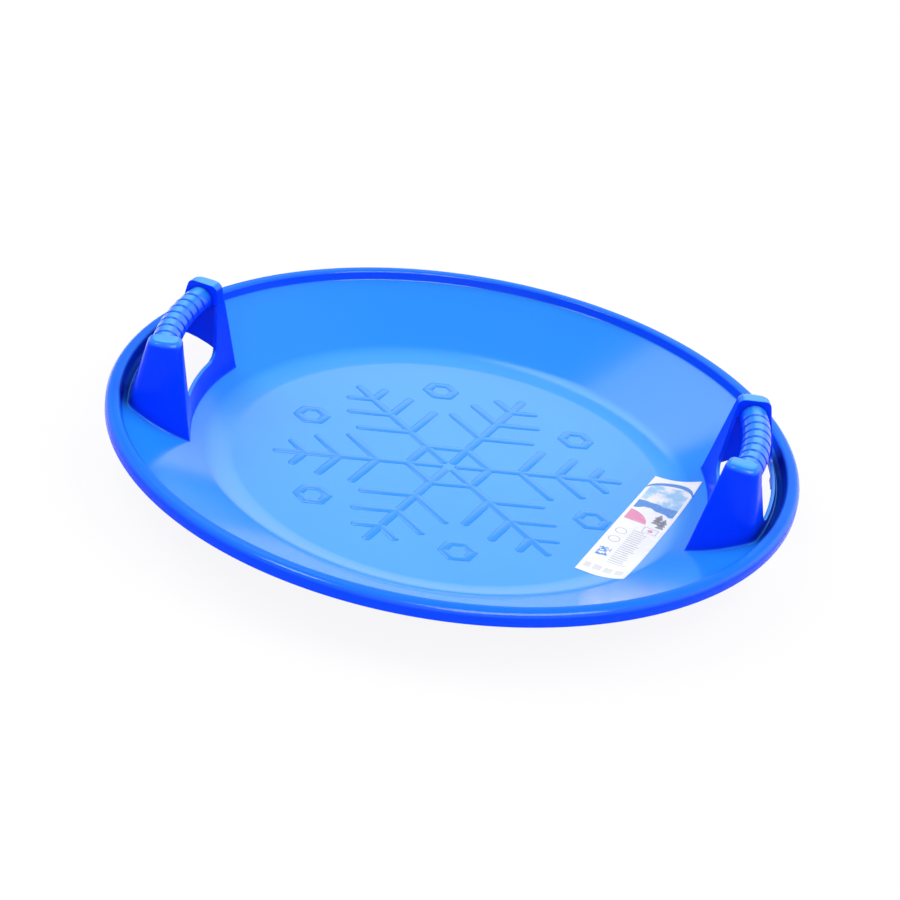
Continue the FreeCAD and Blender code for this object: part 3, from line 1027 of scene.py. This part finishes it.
def label_print(trim):
    """White film with a winter panel, a warm bank, rules and plain squares."""
    finish = Finish("label_film")
    back = Matrix.Rotation(-trim.label_turn, 3, "Z") @ Vector((-trim.label_x, -trim.label_y, 0))
    values = {"Vector": finish.coords, "Location": back, "Rotation": (0, 0, -trim.label_turn)}
    place = finish.node("ShaderNodeMapping", {"vector_type": "POINT"}, values)
    # Places on the print are metres across and along from its middle
    across, along, _ = finish.axes(place)

    def block(left, right, bottom, top):
        return across.above(left) * across.below(right) * along.above(bottom) * along.below(top)

    def disc(middle_x, middle_y, radius):
        return ((across - middle_x) ** 2 + (along - middle_y) ** 2).below(radius ** 2)

    def paint(ground, layers):
        """Ground with colours laid over it in their masks, one after another."""
        for mask, layer in layers:
            ground = finish.mix(mask, ground, layer)
        return ground

    tree_ink, rule_ink, line_ink, square_ink = 0.85, 0.55, 0.6, 0.25
    clouds = finish.noise(70.0, 3.0).ease(0.45, 0.62)
    skyline = finish.noise(48.0, 2.0) * 0.022
    hills = along.below(0.036 + skyline)
    snow = along.below(0.022 + skyline)
    scenery = [(clouds, trim.paper), (hills, trim.hill), (snow, trim.paper)]
    for middle, top in ((0.0085, 0.0330), (0.0140, 0.0275)):
        needles = abs(across - middle) * 2.4
        for tip in (top, top - 0.0045, top - 0.0090):
            tier = (along + needles).below(tip) * along.above(tip - 0.0095)
            scenery.append((tier * tree_ink, trim.ink))
    panel = block(-0.0182, 0.0182, 0.0085, 0.0800)
    arch = disc(0.0, 0.0660, 0.0225) * (1.0 - disc(0.0, 0.0600, 0.0235)) * along.below(0.0915)
    bank = disc(-0.0190, 0.0060, 0.0210) * panel
    ragged = 0.0160 - finish.noise(210.0, 0.0) * 0.012
    rules = along.modulo(0.0036).below(0.0011) * across.below(ragged)
    column = block(-0.0030, 0.0170, -0.0680, -0.0060)
    outlines = [block(0.0030, 0.0160, -0.0045, 0.0055) * (1.0 - block(0.0037, 0.0153, -0.0038, 0.0048))]
    for middle in (-0.0140, -0.0300):
        outlines.append(disc(-0.0115, middle, 0.0052) * (1.0 - disc(-0.0115, middle, 0.0044)))
    dot = disc(0.0095, 0.0005, 0.0024)
    tile = block(-0.0175, -0.0065, -0.0620, -0.0470)
    speckle = finish.mix(finish.noise(330.0, 1.0).ease(0.46, 0.54), trim.hill, trim.paper)
    squares = across.modulo(0.0095).below(0.0070) * block(-0.0175, 0.0190, -0.0860, -0.0780)
    colours = paint(trim.paper, [
        (panel, paint(trim.sky, scenery)), (arch, trim.hill), (bank, trim.accent),
        (rules * column * rule_ink, trim.ink), *((line * line_ink, trim.ink) for line in outlines),
        (dot, trim.accent), (tile, speckle), (squares * square_ink, trim.ink),
    ])
    finish.set(Base_Color=colours, Roughness=0.22 + finish.noise(60.0) * 0.1, IOR=1.45)
    finish.bump(finish.noise(60.0, 1.0), 0.05, 0.0002)
    return finish.material


# Directions of the camera's right and upper sides
CAMERA_RIGHT = Vector((0.97240317, 0.18705648, 0.13943436))
CAMERA_UP = Vector((-0.21198333, 0.45876752, 0.86289943))
SKY_SPREAD = math.radians(55)
FLOOR_REACH = 6.0
FLOOR_GAP = 0.0005
# Part of the floor's white that needs no light
FLOOR_GLOW = 0.90


class SLED_OT_stage(bpy.types.Operator):
    """Set the floor, the soft light and the camera"""

    bl_idname = "sled.stage"
    bl_label = "Stage"

    def execute(self, context):
        stage = settings().stage
        scene = context.scene
        self.lay_floor(stage)
        self.light(scene)
        lens = bpy.data.cameras.new("camera")
        lens.sensor_width = 36
        lens.lens = stage.focal_length
        camera = add_object("camera", lens)
        axes = (CAMERA_RIGHT, CAMERA_UP, CAMERA_RIGHT.cross(CAMERA_UP))
        turned = Matrix(axes).transposed().to_4x4()
        camera.matrix_world = Matrix.Translation(stage.camera_place) @ turned
        scene.camera = camera
        scene.view_settings.view_transform = "Standard"
        return {"FINISHED"}

    def lay_floor(self, stage):
        shape = bmesh.new()
        bmesh.ops.create_grid(shape, x_segments=2, y_segments=2, size=FLOOR_REACH)
        bmesh.ops.translate(shape, verts=shape.verts, vec=(0, 0, -FLOOR_GAP))
        floor = mesh_object("studio_floor", shape)
        finish = Finish("studio_floor")
        finish.set(Base_Color=stage.floor_colour, Roughness=0.9)
        seen = finish.ray("Camera").larger(finish.ray("Transmission"))
        glow = finish.node("ShaderNodeEmission", {}, {})
        lit = Signal(finish, finish.shader.outputs[0])
        finish.end("Material Output", finish.blend(seen * FLOOR_GLOW, lit, glow))
        floor.data.materials.append(finish.material)

    def light(self, scene):
        """White backdrop, dimmer overhead and at the left, that only gloss shows, and soft lamps."""
        world = bpy.data.worlds.new("studio")
        scene.world = world
        world.use_nodes = True
        graph = Graph(world.node_tree)

        def glow(strength):
            return graph.node("ShaderNodeBackground", {}, {"Color": (1, 1, 1), "Strength": strength})

        across, _, up = graph.axes(graph.node("ShaderNodeTexCoord", {}, {}, "Generated"))
        ceiling, left, shade = 0.22, 0.40, 0.40
        lower = 1.0 - up.ease(0.47, 0.54) * (1 - ceiling)
        backdrop = lower * (left + across.ease(-0.27, -0.17) * (1 - left))
        mirrored = graph.blend(graph.ray("Glossy"), glow(shade), glow(backdrop))
        graph.end("World Output", graph.blend(graph.ray("Camera"), mirrored, glow(1.0)))
        self.sky("left_sky", (-1.6, 0.9, 1.5), 1.6)
        self.sky("right_sky", (1.6, 0.9, 1.5), 1.6)
        self.sky("front_sky", (0.2, -1.6, 0.9), 1.0)
        self.strip("front_strip", (0.75, -0.85, 1.75), (1.5, 0.9), 6.0)
        self.strip("left_strip", (-0.85, -0.75, 1.70), (0.45, 0.5), 9.0)
        self.strip("back_box", (-0.72, 1.34, 1.80), (0.9, 0.9), 2.0)

    def lamp(self, name, kind, place):
        """Lamp that shines at the sled from a place."""
        lamp = add_object(name, bpy.data.lights.new(name, kind))
        lamp.location = place
        lamp.rotation_euler = (-Vector(place)).to_track_quat("-Z", "Y").to_euler()
        return lamp

    def sky(self, name, place, power):
        """Broad soft light that leaves no image in the gloss."""
        lamp = self.lamp(name, "SUN", place)
        lamp.data.energy = power
        lamp.data.angle = SKY_SPREAD
        lamp.visible_glossy = False

    def strip(self, name, place, size, glow):
        """Panel that is seen only as a glint in the gloss."""
        lamp = self.lamp(name, "AREA", place)
        lamp.data.shape = "RECTANGLE"
        lamp.data.size, lamp.data.size_y = size
        lamp.data.energy = glow * math.pi * size[0] * size[1]
        lamp.visible_diffuse = False


class SLED_PT_pieces(bpy.types.Panel):
    """Buttons for the sled's pieces"""

    bl_idname = "SLED_PT_pieces"
    bl_label = "Saucer Sled"
    bl_space_type = "VIEW_3D"
    bl_region_type = "UI"
    bl_category = "Sled"

    def draw(self, context):
        for operator in OPERATORS:
            self.layout.operator(operator.bl_idname)


class SledSettings(bpy.types.PropertyGroup):
    """All the sled's sizes and colours."""

    dish: bpy.props.PointerProperty(type=SledDishSizes)
    hold: bpy.props.PointerProperty(type=SledHandHoldSizes)
    trim: bpy.props.PointerProperty(type=SledTrimSizes)
    stage: bpy.props.PointerProperty(type=SledStageSizes)


OPERATORS = (SLED_OT_dish, SLED_OT_hand_holds, SLED_OT_emblem, SLED_OT_label, SLED_OT_stage)
GROUPS = (SledDishSizes, SledHandHoldSizes, SledTrimSizes, SledStageSizes, SledSettings)


def register():
    for item in GROUPS + OPERATORS + (SLED_PT_pieces,):
        bpy.utils.register_class(item)
    bpy.types.Scene.sled = bpy.props.PointerProperty(type=SledSettings)


def unregister():
    del bpy.types.Scene.sled
    for item in reversed(GROUPS + OPERATORS + (SLED_PT_pieces,)):
        bpy.utils.unregister_class(item)


def main():
    register()
    bpy.ops.sled.dish()
    bpy.ops.sled.hand_holds()
    bpy.ops.sled.emblem()
    bpy.ops.sled.label()
    bpy.ops.sled.stage()
    bpy.context.view_layer.update()


if __name__ == "__main__":
    main()
